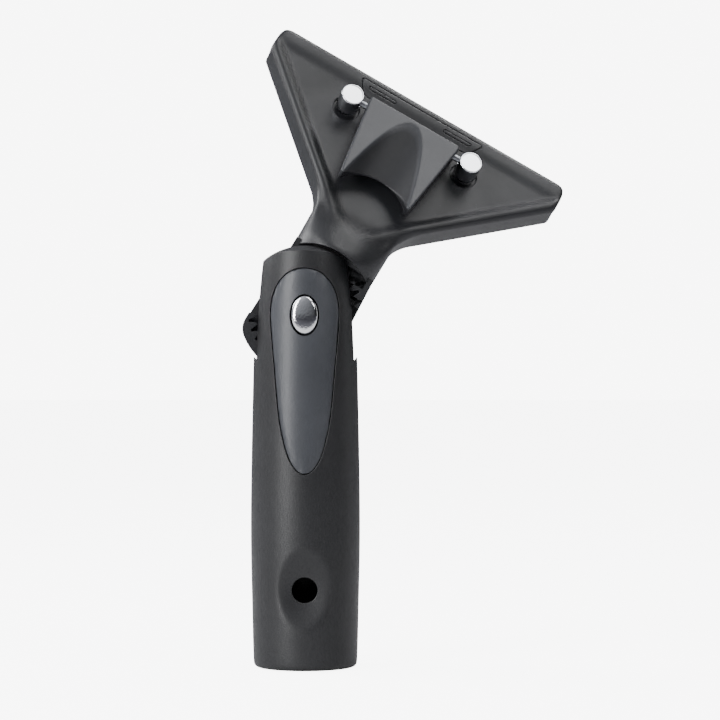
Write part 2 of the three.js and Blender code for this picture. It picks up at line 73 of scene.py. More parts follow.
# %% [markdown]
# A few helpers carry most of the work. `turned` spins an outline about Z, as a lathe or a round mould
# would. `slab` gives an outline a thickness. `carve` cuts or joins two closed solids with a Boolean
# and leaves a plain mesh. `finish_piece` puts a finished shape into the shared frame in metres, shades
# it smooth between its sharp edges, and says what it rides on and stands for.

# %% Helpers for meshes
def smoothstep(low, high, value):
    t = min(max((value - low) / (high - low), 0), 1)
    return t * t * (3 - 2 * t)


def turned(outline, steps=96, closed=True):
    """A solid of revolution about Z from (radius, height) points."""
    bm = bmesh.new()
    points = outline + outline[:1] if closed else outline
    verts = [bm.verts.new((r, 0, z)) for r, z in points]
    edges = [bm.edges.new(pair) for pair in zip(verts, verts[1:])]
    bmesh.ops.spin(bm, geom=verts + edges, cent=(0, 0, 0), axis=(0, 0, 1), angle=math.tau, steps=steps,
                   use_merge=True)
    bmesh.ops.remove_doubles(bm, verts=bm.verts, dist=1e-4)
    bmesh.ops.recalc_face_normals(bm, faces=bm.faces)
    return bm


def slab(outline, y0, y1):
    """An outline in (x, z), filled and run from y0 to y1."""
    bm = bmesh.new()
    face = bm.faces.new([bm.verts.new((x, y0, z)) for x, z in outline])
    run = bmesh.ops.extrude_face_region(bm, geom=[face])["geom"]
    bmesh.ops.translate(bm, vec=(0, y1 - y0, 0), verts=[g for g in run if isinstance(g, bmesh.types.BMVert)])
    bmesh.ops.recalc_face_normals(bm, faces=bm.faces)
    return bm


def block(x0, x1, y0, y1, z0, z1):
    return slab([(x0, z0), (x1, z0), (x1, z1), (x0, z1)], y0, y1)


def rod(radius, start, end, sides=48):
    """A plain round bar between two points."""
    start, end = Vector(start), Vector(end)
    bm = bmesh.new()
    turn = (end - start).to_track_quat("Z", "Y").to_matrix().to_4x4()
    bmesh.ops.create_cone(bm, cap_ends=True, segments=sides, radius1=radius, radius2=radius,
                          depth=(end - start).length, matrix=Matrix.Translation((start + end) / 2) @ turn)
    return bm


def place(bm, matrix):
    """Moves a shape; a matrix that mirrors it turns it inside out, so its faces are flipped back."""
    bmesh.ops.transform(bm, matrix=matrix, verts=bm.verts)
    if matrix.determinant() < 0:
        bmesh.ops.reverse_faces(bm, faces=bm.faces)
    return bm


def soften(bm, verts):
    """One round of smoothing."""
    bmesh.ops.smooth_vert(bm, verts=verts, factor=0.5, use_axis_x=True, use_axis_y=True, use_axis_z=True)


def loose(bm, name="part"):
    mesh = bpy.data.meshes.new(name)
    bm.to_mesh(mesh)
    bm.free()
    made = bpy.data.objects.new(name, mesh)
    bpy.context.scene.collection.objects.link(made)
    return made


def settle(made):
    """Turns a piece's modifiers into plain mesh."""
    bpy.context.view_layer.update()
    shaped = bpy.data.meshes.new_from_object(made.evaluated_get(bpy.context.evaluated_depsgraph_get()))
    old, made.data = made.data, shaped
    made.modifiers.clear()
    bpy.data.meshes.remove(old)
    return made


def carve(made, bm, operation="DIFFERENCE"):
    cutter = loose(bm, "cutter")
    cut = made.modifiers.new("carve", "BOOLEAN")
    cut.operation, cut.solver, cut.object = operation, "MANIFOLD", cutter
    settle(made)
    bpy.data.meshes.remove(cutter.data)
    return made


def join(made, bm):
    return carve(made, bm, "UNION")


def curve_through(points, steps=8):
    """A smooth line through points of any dimension (Catmull-Rom)."""
    out = []
    ends = [points[0]] + list(points) + [points[-1]]
    for a, b, c, d in zip(ends, ends[1:], ends[2:], ends[3:]):
        for n in range(steps):
            t = n / steps
            out.append(tuple(0.5 * (2 * q + (r - p) * t + (2 * p - 5 * q + 4 * r - s) * t * t
                                    + (3 * q - p - 3 * r + s) * t ** 3) for p, q, r, s in zip(a, b, c, d)))
    return out + [tuple(points[-1])]


def rounded(outline, sizes):
    """An outline whose corners are replaced by arcs' worth of points, one cut length per corner."""
    out = []
    count = len(outline)
    for n, (corner, size) in enumerate(zip(outline, sizes)):
        here = Vector(corner)
        if not size:
            out.append(tuple(here))
            continue
        before, after = Vector(outline[n - 1]), Vector(outline[(n + 1) % count])
        a = here + (before - here).normalized() * size
        b = here + (after - here).normalized() * size
        for k in range(7):
            t = k / 6
            out.append(tuple(a * (1 - t) ** 2 + here * 2 * t * (1 - t) + b * t * t))
    return out


def finish_piece(made, name, material, body, stands_for=(), matrix=UPRIGHT, sharp=32):
    made.name = made.data.name = name
    made.data.transform(Matrix.Scale(0.001, 4) @ matrix)
    made.data.materials.clear()
    made.data.materials.append(material)
    for face in made.data.polygons:
        face.use_smooth = True
        face.material_index = 0
    made.data.set_sharp_from_angle(angle=math.radians(sharp))
    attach(made, body)
    if stands_for:
        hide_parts(*stands_for)
    made.data.calc_loop_triangles()
    bm = bmesh.new()
    bm.from_mesh(made.data)
    open_edges = sum(len(e.link_faces) != 2 for e in bm.edges)
    bm.free()
    print(f"{name}: {len(made.data.loop_triangles)} triangles, {open_edges} open edges")
    return made


# %% [markdown]
# ## Finishes
# Three effects turn up in more than one finish, so each is a node group with its own settings.
# Moulded grain is the fine spark-eroded texture of the mould, which gives satin plastic its soft sheen.
# Edge wear and sheen finds the edges from the difference between the true normal and a rounded one, because
# edges polish and pale with handling; on the lever, where it is strong, the pale edges are also a painted
# highlight along its rolled edges. Handling marks are faint smears and scuffs from hands and water.

# %% Helpers for node groups
def sockets(name, inputs, outputs):
    group = bpy.data.node_groups.new(name, "ShaderNodeTree")
    for label, kind, value in inputs:
        socket = group.interface.new_socket(label, in_out="INPUT", socket_type=kind)
        if value is not None:
            socket.default_value = value
    for label, kind in outputs:
        group.interface.new_socket(label, in_out="OUTPUT", socket_type=kind)
    return group, group.nodes.new("NodeGroupInput"), group.nodes.new("NodeGroupOutput")


def node(tree, kind, links=(), **values):
    made = tree.nodes.new(kind)
    for key, value in values.items():
        setattr(made, key, value)
    for socket, source in dict(links).items():
        if isinstance(source, bpy.types.NodeSocket):
            tree.links.new(source, made.inputs[socket])
        else:
            made.inputs[socket].default_value = source
    return made


def maths(tree, operation, a, b=0.0, clamp=False):
    return node(tree, "ShaderNodeMath", {0: a, 1: b}, operation=operation, use_clamp=clamp).outputs[0]


def ramp(tree, value, low, high, out_low=0.0, out_high=1.0):
    return node(tree, "ShaderNodeMapRange", {"Value": value, "From Min": low, "From Max": high,
                                             "To Min": out_low, "To Max": out_high}).outputs["Result"]


def noise(tree, vector, scale, **settings):
    return node(tree, "ShaderNodeTexNoise", {"Vector": vector, "Scale": scale, **settings}).outputs["Fac"]


def mixed(tree, factor, first, second, blend="MIX"):
    """Two colours, each of them plain or linked, mixed by a factor."""
    made = node(tree, "ShaderNodeMix", {"Factor": factor}, data_type="RGBA", blend_type=blend)
    for socket, colour in ((6, first), (7, second)):
        if isinstance(colour, tuple):
            made.inputs[socket].default_value = (*colour, 1)
        else:
            tree.links.new(colour, made.inputs[socket])
    return made.outputs[2]


FLOAT, VECTOR = "NodeSocketFloat", "NodeSocketVector"

# %% Moulded grain
grain, given, sent = sockets(
    "Moulded grain",
    [("Vector", VECTOR, None), ("Size mm", FLOAT, 0.35), ("Depth", FLOAT, 0.5)],
    [("Height", FLOAT), ("Mottle", FLOAT)])
at = given.outputs["Vector"]
pitch = maths(grain, "DIVIDE", 1000.0, given.outputs["Size mm"])
bumps = noise(grain, at, pitch, Detail=3.0, Roughness=0.6)
pores = node(grain, "ShaderNodeTexVoronoi", {"Vector": at, "Scale": pitch}).outputs["Distance"]
relief = maths(grain, "ADD", bumps, maths(grain, "MULTIPLY", pores, 0.35))
flow = noise(grain, at, 42.0, Detail=4.0, Distortion=0.6)
grain.links.new(maths(grain, "MULTIPLY", relief, given.outputs["Depth"]), sent.inputs["Height"])
grain.links.new(flow, sent.inputs["Mottle"])
print("group:", grain.name)

# %% Edge wear and sheen
wear_and_sheen, given, sent = sockets(
    "Edge wear and sheen",
    [("Vector", VECTOR, None), ("Width mm", FLOAT, 0.45), ("Amount", FLOAT, 0.6)],
    [("Mask", FLOAT), ("Soft normal", VECTOR)])
true = node(wear_and_sheen, "ShaderNodeNewGeometry").outputs["Normal"]
width = maths(wear_and_sheen, "MULTIPLY", given.outputs["Width mm"], 0.001)
soft = node(wear_and_sheen, "ShaderNodeBevel", {"Radius": width}, samples=6).outputs["Normal"]
alike = node(wear_and_sheen, "ShaderNodeVectorMath", {0: soft, 1: true}, operation="DOT_PRODUCT").outputs["Value"]
patchy = noise(wear_and_sheen, given.outputs["Vector"], 260.0, Detail=4.0)
mask = maths(wear_and_sheen, "MULTIPLY", ramp(wear_and_sheen, alike, 0.995, 0.86), ramp(wear_and_sheen, patchy, 0.35, 0.65, 0.35, 1.0))
wear_and_sheen.links.new(maths(wear_and_sheen, "MULTIPLY", mask, given.outputs["Amount"], clamp=True), sent.inputs["Mask"])
wear_and_sheen.links.new(soft, sent.inputs["Soft normal"])
print("group:", wear_and_sheen.name)

# %% Handling marks
marks, given, sent = sockets(
    "Handling marks",
    [("Vector", VECTOR, None), ("Amount", FLOAT, 0.5)],
    [("Smear", FLOAT), ("Scratch", FLOAT)])
at, amount = given.outputs["Vector"], given.outputs["Amount"]
smears = noise(marks, at, 28.0, Detail=6.0, Roughness=0.65, Distortion=1.2)
stretch = node(marks, "ShaderNodeMapping", {"Vector": at, "Rotation": (0.3, 0.5, 0.2),
                                            "Scale": (900.0, 60.0, 700.0)})
lines = noise(marks, stretch.outputs["Vector"], 1.0, Detail=2.0)
where = noise(marks, at, 55.0, Detail=1.0)
scratch = maths(marks, "MULTIPLY", ramp(marks, lines, 0.68, 0.74), ramp(marks, where, 0.52, 0.62))
marks.links.new(maths(marks, "MULTIPLY", ramp(marks, smears, 0.4, 0.72), amount), sent.inputs["Smear"])
marks.links.new(maths(marks, "MULTIPLY", scratch, amount), sent.inputs["Scratch"])
print("group:", marks.name)

# %% [markdown]
# The plastics are all the same kind: glass-filled nylon or polypropylene, satin, near black, with the
# mould's grain. They differ in how dark they are, how coarse the grain is and how much they shine.
# The recipe is one function, and each moulding gets its own values.

# %% Satin plastics
def fresh_material(name):
    made = bpy.data.materials.new(name)
    made.use_nodes = True
    made.node_tree.nodes.clear()
    return made, made.node_tree


def satin_plastic(name, dark, light, roughness, grain_mm, depth, edges=0.5, smear=0.5, rounding=0.45):
    made, tree = fresh_material(name)
    spot = node(tree, "ShaderNodeTexCoord").outputs["Object"]
    grained = node(tree, "ShaderNodeGroup", node_tree=grain)
    worn_and_sheen = node(tree, "ShaderNodeGroup", node_tree=wear_and_sheen)
    handled = node(tree, "ShaderNodeGroup", node_tree=marks)
    for group, own in ((grained, {"Size mm": grain_mm, "Depth": depth}),
                       (worn_and_sheen, {"Width mm": rounding, "Amount": edges}), (handled, {"Amount": smear})):
        tree.links.new(spot, group.inputs["Vector"])
        for label, value in own.items():
            group.inputs[label].default_value = value
    pale = tuple(min(1, 2.1 * c + 0.02) for c in light)
    colour = mixed(tree, ramp(tree, grained.outputs["Mottle"], 0.3, 0.7), dark, light)
    # Pale edges: wear, and where the amount is high, as on the lever, also painted highlight.
    colour = mixed(tree, worn_and_sheen.outputs["Mask"], colour, pale)
    colour = mixed(tree, maths(tree, "MULTIPLY", handled.outputs["Scratch"], 0.35), colour, pale)
    rough = maths(tree, "ADD", roughness, maths(tree, "MULTIPLY", handled.outputs["Smear"], 0.10))
    rough = maths(tree, "SUBTRACT", rough, maths(tree, "MULTIPLY", worn_and_sheen.outputs["Mask"], 0.08), clamp=True)
    bump = node(tree, "ShaderNodeBump", {"Strength": 0.35, "Distance": 0.00012,
                                         "Height": grained.outputs["Height"],
                                         "Normal": worn_and_sheen.outputs["Soft normal"]})
    shader = node(tree, "ShaderNodeBsdfPrincipled", {"Base Color": colour, "Roughness": rough,
                                                     "Normal": bump.outputs["Normal"]})
    shader.inputs["Specular IOR Level"].default_value = 0.5
    shader.inputs["IOR"].default_value = 1.5
    node(tree, "ShaderNodeOutputMaterial", {"Surface": shader.outputs["BSDF"]})
    return made


barrel_plastic = satin_plastic("Barrel charcoal plastic", (0.0110, 0.0112, 0.0124), (0.0150, 0.0153, 0.0168),
                               0.42, 0.38, 1.1)
inlay_plastic = satin_plastic("Inlay graphite plastic", (0.042, 0.0448, 0.0515), (0.055, 0.0585, 0.0665),
                              0.36, 0.50, 1.1, edges=0.2, rounding=0.3)
head_plastic = satin_plastic("Head charcoal plastic", (0.0100, 0.0103, 0.0118), (0.0150, 0.0156, 0.0182),
                             0.40, 0.28, 0.45, smear=0.9, rounding=0.5)
# The lever's pale edges are partly wear and partly a painted highlight along its rolled edges and lip.
lever_plastic = satin_plastic("Lever graphite plastic", (0.037, 0.0384, 0.0430), (0.046, 0.0480, 0.0535),
                              0.31, 0.30, 0.5, edges=0.8, rounding=0.3)
print("plastics:", [m.name for m in bpy.data.materials if "plastic" in m.name])

# %% [markdown]
# The lever's scoop is painted darker than its top face: painted shade for the light that the flat top
# catches and the scoop misses. The scoop is also made a little rougher. How high a point stands above the
# plate, read along the plate's own normal, tells the two apart.

# %% Paint shade into the lever's scoop
LEVER_TOP = 13.5
tree = lever_plastic.node_tree
shader = next(n for n in tree.nodes if n.type == "BSDF_PRINCIPLED")
up = PLATE.to_3x3() @ Vector((0, -1, 0))
spot = node(tree, "ShaderNodeTexCoord").outputs["Object"]
level = node(tree, "ShaderNodeVectorMath", {0: spot, 1: up}, operation="DOT_PRODUCT").outputs["Value"]
height = maths(tree, "SUBTRACT", level, up.dot(PLATE.translation) / 1000)
# Painted shade: everything below the lever's top face has its colour multiplied darker and its roughness
# raised.
painted_scoop_shade = ramp(tree, height, (LEVER_TOP - 0.2) / 1000, (LEVER_TOP - 0.7) / 1000)
plain = shader.inputs["Base Color"].links[0].from_socket
tree.links.new(mixed(tree, painted_scoop_shade, plain, (0.26, 0.26, 0.28), "MULTIPLY"), shader.inputs["Base Color"])
firm = shader.inputs["Roughness"].links[0].from_socket
tree.links.new(maths(tree, "ADD", firm, maths(tree, "MULTIPLY", painted_scoop_shade, 0.14)), shader.inputs["Roughness"])
print("lever top at", LEVER_TOP, "mm above the plate")


# %% [markdown]
# The metals are polished chrome on the button and the pins' caps, and brushed or plain steel inside.
# Chrome that is used by hand is never a perfect mirror: it has fine hairlines and a few dull smears,
# so its roughness follows the handling marks. The steel inside is duller and more finely scored.

# %% Metals
def polished_metal(name, colour, roughness, smear, hairline=0.12):
    made, tree = fresh_material(name)
    spot = node(tree, "ShaderNodeTexCoord").outputs["Object"]
    handled = node(tree, "ShaderNodeGroup", {"Vector": spot, "Amount": smear}, node_tree=marks)
    worn_and_sheen = node(tree, "ShaderNodeGroup", {"Vector": spot, "Width mm": 0.2, "Amount": 0.0}, node_tree=wear_and_sheen)
    fine = noise(tree, spot, 1500.0, Detail=3.0)
    tone = mixed(tree, handled.outputs["Smear"], colour, tuple(c * 0.82 for c in colour))
    rough = maths(tree, "ADD", roughness, maths(tree, "MULTIPLY", handled.outputs["Smear"], 0.12))
    rough = maths(tree, "ADD", rough, maths(tree, "MULTIPLY", handled.outputs["Scratch"], 0.2), clamp=True)
    bump = node(tree, "ShaderNodeBump", {"Strength": hairline, "Distance": 0.00005, "Height": fine,
                                         "Normal": worn_and_sheen.outputs["Soft normal"]})
    shader = node(tree, "ShaderNodeBsdfPrincipled", {"Base Color": tone, "Roughness": rough,
                                                     "Normal": bump.outputs["Normal"]})
    shader.inputs["Metallic"].default_value = 1.0
    node(tree, "ShaderNodeOutputMaterial", {"Surface": shader.outputs["BSDF"]})
    return made


cap_chrome = polished_metal("Polished chrome", (0.83, 0.84, 0.86), 0.07, 0.35)
button_chrome = polished_metal("Button chrome", (0.90, 0.905, 0.92), 0.06, 0.45, hairline=0.9)
plain_steel = polished_metal("Satin steel", (0.50, 0.51, 0.53), 0.30, 0.5, hairline=0.5)
dark_steel = polished_metal("Dark spring steel", (0.28, 0.29, 0.31), 0.34, 0.5, hairline=0.5)
washer_acetal = satin_plastic("Washer acetal", (0.010, 0.010, 0.011), (0.013, 0.013, 0.014),
                              0.33, 0.2, 0.2, edges=0.2)
print("metals:", cap_chrome.name, button_chrome.name, plain_steel.name)

# %% [markdown]
# The small parts inside the joints and the rod between the posts keep their CAD shapes, which are
# right as they are. They take the metals above, and the washer takes its own plastic.

# %% CAD pieces that stay
KEPT = {
    plain_steel: ["pivot_bolt", "pivot_nut", "pivot_bushing", "bolt_washer", "lever_axle", "spring_screw",
                  "lock_pin_left", "lock_pin_right", "swivel_lock"],
    dark_steel: ["lock_spring", "lever_spring", "pin_cross_rod"],
    washer_acetal: ["swivel_washer"],
}
for finish, names in KEPT.items():
    for name in names:
        for socket in frame["nodes"][name].material_slots:
            socket.material = finish
print("kept CAD pieces:", sum(len(names) for names in KEPT.values()))

# %% [markdown]
# ## The handle
# The grip is an injection-moulded tube with a pole socket in its lower end and a fork at its upper end.
# It could be built from boxes and cylinders, but its long, barely curved outline is what the light
# shows, so it is one profile with many rows, spun about the axis. The rows are close enough for the
# thumb hollow to be pressed into the skin by moving vertices, which keeps its rim soft.

# %% The grip's outline
GRIP = [(0, 17.2), (8.7, 17.5), (22, 17.8), (35.3, 18.1), (48, 18.2), (62, 18.08), (82, 17.73), (103, 17.25),
        (118.3, 16.6), (126, 16.05), (134, 15.3), (145, 13.8)]
SKIN = curve_through(GRIP, 24)


def grip_radius(z):
    for (z0, r0), (z1, r1) in zip(SKIN, SKIN[1:]):
        if z <= z1:
            return r0 + (r1 - r0) * (z - z0) / (z1 - z0)
    return SKIN[-1][1]


print("grip radius at the pivot:", round(grip_radius(PIVOT), 2), "mm")

# %% Spin the tube
BORE_DEEP, BORE_MOUTH, BORE_DRAFT = 82.0, 12.8, 0.6
END_ROUND = 1.6
foot = [(17.2 - END_ROUND + END_ROUND * math.sin(a), END_ROUND - END_ROUND * math.cos(a))
        for a in [math.radians(d) for d in range(0, 91, 15)]]
side = [(grip_radius(z), z) for z in [2.6 + 1.2 * n for n in range(119)]]
crown = [(0.0, side[-1][1])]
taper = [(BORE_MOUTH - BORE_DRAFT * z / 79, z) for z in (60, 40, 20)]
blind_end = [(0.0, BORE_DEEP), (9.2, BORE_DEEP), (12.2, 79.0)]
bore = blind_end + taper + [(BORE_MOUTH, 0.8), (13.1, 0.25), (13.6, 0.0)]
barrel = loose(turned(bore + foot + side + crown, 144, closed=False), "handle_shell")
print("tube:", len(barrel.data.vertices), "vertices")

# %% [markdown]
# The thumb hollow round the snap-button hole is about 17 mm wide and 25 mm high, with no hard rim. The
# skin is pushed in most at the middle and the push dies away smoothly, as a sculptor's brush would do.

# %% Press in the thumb hollow
SNAP, HOLLOW_DEEP = 26.5, 3.0
hollow = bmesh.new()
hollow.from_mesh(barrel.data)
for vert in hollow.verts:
    x, y, z = vert.co
    if y < 0 and math.hypot(x, y) > 16:
        far = (x / 9.2) ** 2 + ((z - SNAP) / 13.4) ** 2
        if far < 1:
            vert.co.y += HOLLOW_DEEP * (1 - far) ** 1.35
hollow.to_mesh(barrel.data)
hollow.free()
carve(barrel, rod(4.25, (0, -30, SNAP), (0, 0, SNAP), 64))
print("hollow pressed and hole drilled at", SNAP, "mm")

# %% [markdown]
# The fork's two cheeks are rounded on top about the pivot, and their outer edge rolls over. A form that
# is spun about the pivot's axis and kept only above it gives both at once.

# %% Round the cheeks and open the fork
CHEEK = 21.5
roll = [(CHEEK - 4.3 * max(0, (abs(y) - 8.4) / 9.8) ** 2.1, y)
        for y in [-18.4 + 36.8 * n / 40 for n in range(41)]]
dome = turned([(0, roll[0][1])] + roll + [(0, roll[-1][1])], 144, closed=False)
place(dome, Matrix.Translation((0, 0, PIVOT)) @ FORWARD)
keep = loose(dome, "keep")
join(keep, block(-25, 25, -25, 25, -5, PIVOT))
top = bmesh.new()
top.from_mesh(keep.data)
bpy.data.objects.remove(keep)
carve(barrel, top, "INTERSECT")
SLOT = 6.2
carve(barrel, rod(23, (0, -SLOT, PIVOT), (0, SLOT, PIVOT), 160))
carve(barrel, block(-30, 30, -SLOT, SLOT, PIVOT, PIVOT + 40))
print("fork gap", 2 * SLOT, "mm")

# %% [markdown]
# ### The inlay and its seat
# A teardrop panel of paler plastic sits in the front cheek. Only a fine dark joint shows round it. The
# panel is drawn flat, cut into narrow strips so that it can bend, and laid on the grip's surface with
# its rim turned down a little, which gives the joint its soft lip.

# %% The teardrop
HALF = [(0, 13.7), (2.3, 13.45), (4.5, 12.7), (6.4, 11.4), (8.8, 8.6), (10.4, 4.8), (11.05, 1), (11.1, -3),
        (10.7, -8.8), (10.1, -15.5), (9.5, -22.5), (8.9, -29.5), (8.1, -36.4), (7.1, -41.6), (6.0, -45.8),
        (4.5, -49.6), (2.4, -52.5), (0, -53.6)]


def teardrop(grow=0.0):
    """The panel's outline, moved outwards by `grow`: the right half from its points, then its mirror."""
    ends = [(-2.3, 13.45)] + HALF + [(-2.4, -52.5)]
    line = [Vector(p) for p in curve_through(ends, 6)[6:-6]]
    middle = Vector((0, -12))
    out = []
    for n, p in enumerate(line):
        before, after = line[max(n - 1, 0)], line[min(n + 1, len(line) - 1)]
        along = (after - before).normalized()
        normal = Vector((-along.y, along.x))
        if n in (0, len(line) - 1):
            normal = Vector((0, 1 if n == 0 else -1))
        elif normal.dot(p - middle) < 0:
            normal.negate()
        out.append(p + normal * grow)
    right = [(p.x, p.y + PIVOT) for p in out]
    return right + [(-x, z) for x, z in reversed(right[1:-1])]


BUTTON = (4.4, 6.4)
BUTTON_Z = PIVOT - 1.6
WELL_GAP = 0.45


def oval(grow, count=72):
    return [((BUTTON[0] + grow) * math.cos(a), BUTTON_Z + (BUTTON[1] + grow) * math.sin(a))
            for a in [math.tau * n / count for n in range(count)]]


INLAY_DEEP, INLAY_GAP = 1.7, 0.3
bed = [(grip_radius(z) - INLAY_DEEP - INLAY_GAP, z) for z in range(55, 145)]
inner = turned([(0, 55)] + bed + [(0, 144)], 144, closed=False)
seat = loose(slab(teardrop(INLAY_GAP), -25, -8), "seat")
carve(seat, inner)
cut = bmesh.new()
cut.from_mesh(seat.data)
bpy.data.objects.remove(seat)
carve(barrel, cut)
carve(barrel, slab(oval(WELL_GAP), -25, -9.5))
print("seat cut for the inlay, well cut for the button")

# %% Bolt holes, the lock's two windows, and finish
BOLT_HEAD, BOLT_SUNK, WASHER_ROOM, LOCK_LEG = 2.7, 1.2, 1.1, 3.95
bolt_seat = grip_radius(PIVOT) - BOLT_HEAD - BOLT_SUNK - WASHER_ROOM
carve(barrel, rod(1.9, (0, -12, PIVOT), (0, 20, PIVOT)))
carve(barrel, rod(4.55, (0, bolt_seat, PIVOT), (0, 25, PIVOT), 64))
carve(barrel, rod(4.5, (0, 0, PIVOT), (0, SLOT + 3.6, PIVOT), 48))
for way in (-1, 1):
    z = PIVOT + way * LOCK_LEG
    carve(barrel, block(-1.75, 1.75, -11, 0, z - 1.2, z + 1.2))
finish_piece(barrel, "handle_shell", barrel_plastic, "handle", ["handle_barrel"])

# %% Lay the inlay on the grip
panel = bmesh.new()
panel.faces.new([panel.verts.new((x, 0, z)) for x, z in teardrop()])
bmesh.ops.inset_region(panel, faces=panel.faces[:], thickness=0.4)
bmesh.ops.inset_region(panel, faces=[max(panel.faces, key=lambda f: f.calc_area())], thickness=0.35)
upright_cuts = [((n * 0.85, 0, 0), (1, 0, 0)) for n in range(-13, 14)]
level_cuts = [((0, 0, 65 + 3.0 * n), (0, 0, 1)) for n in range(23)]
for spot, facing in upright_cuts + level_cuts:
    everything = panel.verts[:] + panel.edges[:] + panel.faces[:]
    bmesh.ops.bisect_plane(panel, geom=everything, plane_co=spot, plane_no=facing)
RIM_DROP = 0.34
for vert in panel.verts:
    x, _, z = vert.co
    drop = RIM_DROP if vert.is_boundary else 0.0
    vert.co.y = -math.sqrt(max(grip_radius(z) ** 2 - x * x, 1)) + drop
run = bmesh.ops.extrude_face_region(panel, geom=panel.faces[:])["geom"]
for vert in [g for g in run if isinstance(g, bmesh.types.BMVert)]:
    vert.co.y += INLAY_DEEP - 0.1
bmesh.ops.recalc_face_normals(panel, faces=panel.faces)
inlay = loose(panel, "inlay_panel")
carve(inlay, slab(oval(WELL_GAP), -25, 0))
finish_piece(inlay, "inlay_panel", inlay_plastic, "handle", ["front_inlay"], sharp=40)

# %% [markdown]
# ### The button
# A small oval of chromed metal. Its face is a shallow dome with a rolled edge, which is why a polished
# button shows a dark middle and a bright rim. A spun profile, squeezed to an oval, is enough.

# %% The chromed button
proud = grip_radius(BUTTON_Z) + 0.75
rolled = [(0.0, 0.0), (1.2, -0.03), (2.4, -0.1), (3.6, -0.22), (4.6, -0.37), (5.3, -0.53), (5.8, -0.72),
          (6.15, -0.98), (6.34, -1.3), (6.4, -1.65), (6.4, -2.1), (0.0, -2.1)]
button = turned(rolled, 96, closed=False)
squeeze = Matrix.Scale(BUTTON[0] / BUTTON[1], 4, (1, 0, 0))
place(button, Matrix.Translation((0, -proud, BUTTON_Z)) @ squeeze @ FORWARD)
finish_piece(loose(button), "button_dome", button_chrome, "button", ["button_cap"], sharp=60)

# %% [markdown]
# ## The head
# The head is one moulding: a round neck that flows into a flat triangular plate with rolled borders.
# Moulded shapes like this have no hard joins, and drawing every blend by hand is slow. So simple solids
# are joined, the slot for the blade channel is cut, and the whole is remeshed into an even skin. Then
# it is shaped like clay: the face is lowered between its ridges, and the skin is smoothed where the
# neck meets the plate. REACH is a little longer than the CAD plate, because smoothing takes some off.

# %% The plate's borders
HALF_WIDE, REACH, ROOT, NECK = 56.0, 63.4, 10.5, (14.6, 12.8)
TOP, FACE = 5.5, 4.2
RIDGE, DIP, LIP, ROLL, BACK_ROLL = 1.5, 0.42, 0.6, 2.9, 1.5
CHANNEL_HALF, CHANNEL_DEEP = 2.5, 21


def side_distance(x, s):
    """How far a point on the plate is from the slanting borders, blended where they meet."""
    a, b = (s - x + 4.1) / math.sqrt(2), (s + x + 4.1) / math.sqrt(2)
    k = 2.2
    return min(a, b) - k * math.log(1 + math.exp(-abs(a - b) / k))


def face_height(x, s):
    """The moulded face above the plate's middle: a rolled border on each side and along the front."""
    to_side, to_front, to_end = side_distance(x, s), REACH - s, HALF_WIDE - abs(x)
    inward = to_side + 1.2 * smoothstep(18.0, 4.0, s)
    dip = DIP * math.exp(-((inward - 6.2) / 1.4) ** 2) * smoothstep(12.0, 24.0, s)
    ridge = RIDGE * smoothstep(5.8, 2.4, inward) - dip
    front = LIP * smoothstep(9.0, 4.5, to_front)
    roll = 0.0
    for far, size in ((to_side, 2.3), (to_front, 2.6), (to_end, 1.4)):
        roll += (max(size - far, 0) / size) ** 2 * size * size
    roll = min(math.sqrt(roll), ROLL - 0.05)
    return FACE + max(ridge, front) - (ROLL - math.sqrt(ROLL ** 2 - roll ** 2))


highest = max(face_height(x * 0.1, 40) for x in range(300, 440))
print("face height: middle", round(face_height(0, 35), 2), "ridge", round(highest, 2))

# %% Join the neck and the plate
corner = ROOT + (HALF_WIDE - NECK[0])
half_plate = [(12.4, -1.0), (14.2, 6.0), (15.2, ROOT + 1.0), (HALF_WIDE, corner), (HALF_WIDE, REACH)]
cuts = [0, 0, 8.0, 1.0, 5.4]
full = rounded(half_plate + [(-x, s) for x, s in reversed(half_plate)], cuts + cuts[::-1])
plate = slab(full, -TOP, TOP)
head = loose(place(plate, BENT), "head_moulding")

neck = bmesh.new()
for z in (9.0, 16.0, 23.0):
    ring = bmesh.ops.create_circle(neck, cap_ends=False, segments=64, radius=1.0)["verts"]
    bmesh.ops.scale(neck, vec=(*NECK, 1), verts=ring)
    bmesh.ops.translate(neck, vec=(0, 0, z), verts=ring)
IN_PLATE = ((15.0, ROOT + 1, -3.8), (15.0, ROOT + 1, 3.8), (11.5, ROOT + 6, -5.3), (11.5, ROOT + 5, 5.3))
for way in (-1, 1):
    for x, s, h in IN_PLATE:
        neck.verts.new(BENT @ Vector((way * x, -h, s)))
hull = bmesh.ops.convex_hull(neck, input=neck.verts[:])
inside = [g for g in hull["geom_interior"] if isinstance(g, bmesh.types.BMVert)]
bmesh.ops.delete(neck, geom=inside, context="VERTS")
bmesh.ops.recalc_face_normals(neck, faces=neck.faces)
join(head, neck)
wall = HALF_WIDE - 2.4
pocket = [(wall - 10.2, REACH - CHANNEL_DEEP), (wall, corner - 0.2), (wall, corner + 0.9),
          (80, corner + 0.9), (80, REACH + 9)]
pocket = pocket + [(-x, s) for x, s in reversed(pocket)]
carve(head, place(slab(pocket, -CHANNEL_HALF, CHANNEL_HALF), BENT))
print("joined:", len(head.data.vertices), "vertices")

# %% Even skin
head.data.transform(FLAT)
skin = head.modifiers.new("even skin", "REMESH")
skin.mode, skin.voxel_size, skin.adaptivity = "VOXEL", 0.52, 0.0
settle(head)
head.data.transform(BENT)
print("even skin:", len(head.data.polygons), "faces")

